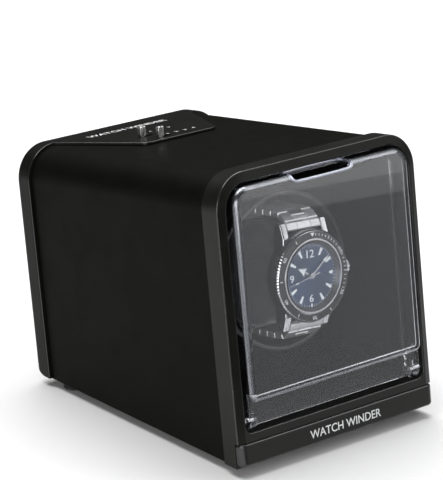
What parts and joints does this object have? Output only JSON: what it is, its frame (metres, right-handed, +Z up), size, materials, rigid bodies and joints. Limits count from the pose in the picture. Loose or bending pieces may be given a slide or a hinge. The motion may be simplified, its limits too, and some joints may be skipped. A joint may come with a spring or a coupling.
{
  "type": "watch winder box",
  "caption": "Tilted watch winder box with a clear hinged front lid, a geared turning drum that holds a wrist watch on a cushion, slide controls on top and a low-voltage socket behind.",
  "frame": {"origin": "centre of the footprint's bounding box, on the plane that the rubber feet rest on", "axes": "+X to the object's right seen from the front, +Y from the front to the back, +Z up; the housing leans back by 8 degrees"},
  "size_m": [0.12, 0.1726, 0.1384],
  "materials": {
    "satin_black": "satin moulded plastic",
    "matte_black": "fine-grained matt plastic",
    "gloss_black": "gloss black plastic",
    "lining_grey": "short-pile lining",
    "foot_rubber": "matt black rubber",
    "steel": "brushed and polished stainless steel",
    "chrome": "bright chrome",
    "bronze": "sintered bronze",
    "white_nylon": "moulded nylon",
    "board_green": "solder-masked board",
    "cushion_cloth": "soft woven cover",
    "dial_blue": "sunburst blue enamel",
    "watch_glass": "clear flat glass",
    "clear_acrylic": "clear polished acrylic with a slightly blue edge",
    "lead_black": "black insulation"
  },
  "bodies": {
    "housing": {"outer_shell": "matte_black", "front_frame": "satin_black", "plinth": "satin_black", "rear_frame": "satin_black", "rear_panel": "matte_black", "base_plate": "matte_black", "compartment_lining": "lining_grey", "hinge_pin_left": "steel", "hinge_pin_right": "steel", "drum_bush": "bronze", "motor_bracket": "steel", "gear_motor": "steel", "circuit_board": "board_green", "direction_switch": "matte_black", "programme_switch": "matte_black", "power_socket": "gloss_black", "socket_nut": "steel", "motor_lead": "lead_black", "power_lead": "lead_black", "foot_front_left": "foot_rubber", "foot_front_right": "foot_rubber", "foot_rear_left": "foot_rubber", "foot_rear_right": "foot_rubber", "panel_screw_1": "steel", "panel_screw_2": "steel", "panel_screw_3": "steel", "panel_screw_4": "steel", "base_screw_1": "steel", "base_screw_2": "steel", "base_screw_3": "steel", "base_screw_4": "steel", "bracket_screw_1": "steel", "bracket_screw_2": "steel", "bracket_screw_3": "steel", "bracket_screw_4": "steel", "motor_screw_1": "steel", "motor_screw_2": "steel"},
    "lid": {"lid": "clear_acrylic"},
    "rotor": {"drum": "satin_black", "axle": "steel", "drum_gear": "white_nylon", "retaining_ring": "steel", "watch_cushion": "cushion_cloth", "watch_case": "steel", "watch_crystal": "watch_glass", "watch_dial": "dial_blue", "bracelet_upper": "steel", "bracelet_lower": "steel", "bracelet_clasp": "steel"},
    "pinion": {"motor_pinion": "bronze", "motor_shaft": "steel"},
    "direction_knob": {"direction_knob": "chrome"},
    "programme_knob": {"programme_knob": "chrome"},
    "bezel": {"watch_bezel": "steel"},
    "crown": {"watch_crown": "steel"},
    "second_hand": {"second_hand": "chrome"},
    "minute_hand": {"minute_hand": "chrome"},
    "hour_hand": {"hour_hand": "chrome"}
  },
  "joints": [
    {"name": "lid_hinge", "type": "hinge", "parent": "housing", "child": "lid", "pos_m": [0, -0.07882, 0.02478], "axis": [1, 0, 0], "range_deg": [0, 100]},
    {"name": "drum_spin", "type": "hinge", "parent": "housing", "child": "rotor", "pos_m": [0, -0.01468, 0.07161], "axis": [0, 0.9903, -0.1392], "continuous": true},
    {"name": "pinion_spin", "type": "hinge", "parent": "housing", "child": "pinion", "pos_m": [0, -0.00187, 0.04058], "axis": [0, 0.9903, -0.1392], "continuous": true},
    {"name": "direction_slide", "type": "slide", "parent": "housing", "child": "direction_knob", "axis": [1, 0, 0], "range_m": [0, 0.005]},
    {"name": "programme_slide", "type": "slide", "parent": "housing", "child": "programme_knob", "axis": [1, 0, 0], "range_m": [0, 0.005]},
    {"name": "bezel_turn", "type": "hinge", "parent": "rotor", "child": "bezel", "pos_m": [0, -0.0632, 0.07843], "axis": [0, 0.9903, -0.1392], "continuous": true},
    {"name": "crown_turn", "type": "hinge", "parent": "rotor", "child": "crown", "pos_m": [0, -0.05676, 0.07752], "axis": [0.9979, -0.0091, -0.0648], "continuous": true},
    {"name": "second_hand_turn", "type": "hinge", "parent": "rotor", "child": "second_hand", "pos_m": [0, -0.06359, 0.07848], "axis": [0, 0.9903, -0.1392], "continuous": true},
    {"name": "minute_hand_turn", "type": "hinge", "parent": "rotor", "child": "minute_hand", "pos_m": [0, -0.0631, 0.07842], "axis": [0, 0.9903, -0.1392], "continuous": true},
    {"name": "hour_hand_turn", "type": "hinge", "parent": "rotor", "child": "hour_hand", "pos_m": [0, -0.0626, 0.07835], "axis": [0, 0.9903, -0.1392], "continuous": true}
  ],
  "couplings": [
    {"joint": "pinion_spin", "follows": "drum_spin", "ratio": -5},
    {"joint": "minute_hand_turn", "follows": "second_hand_turn", "ratio": 0.016667},
    {"joint": "hour_hand_turn", "follows": "second_hand_turn", "ratio": 0.0013889}
  ]
}
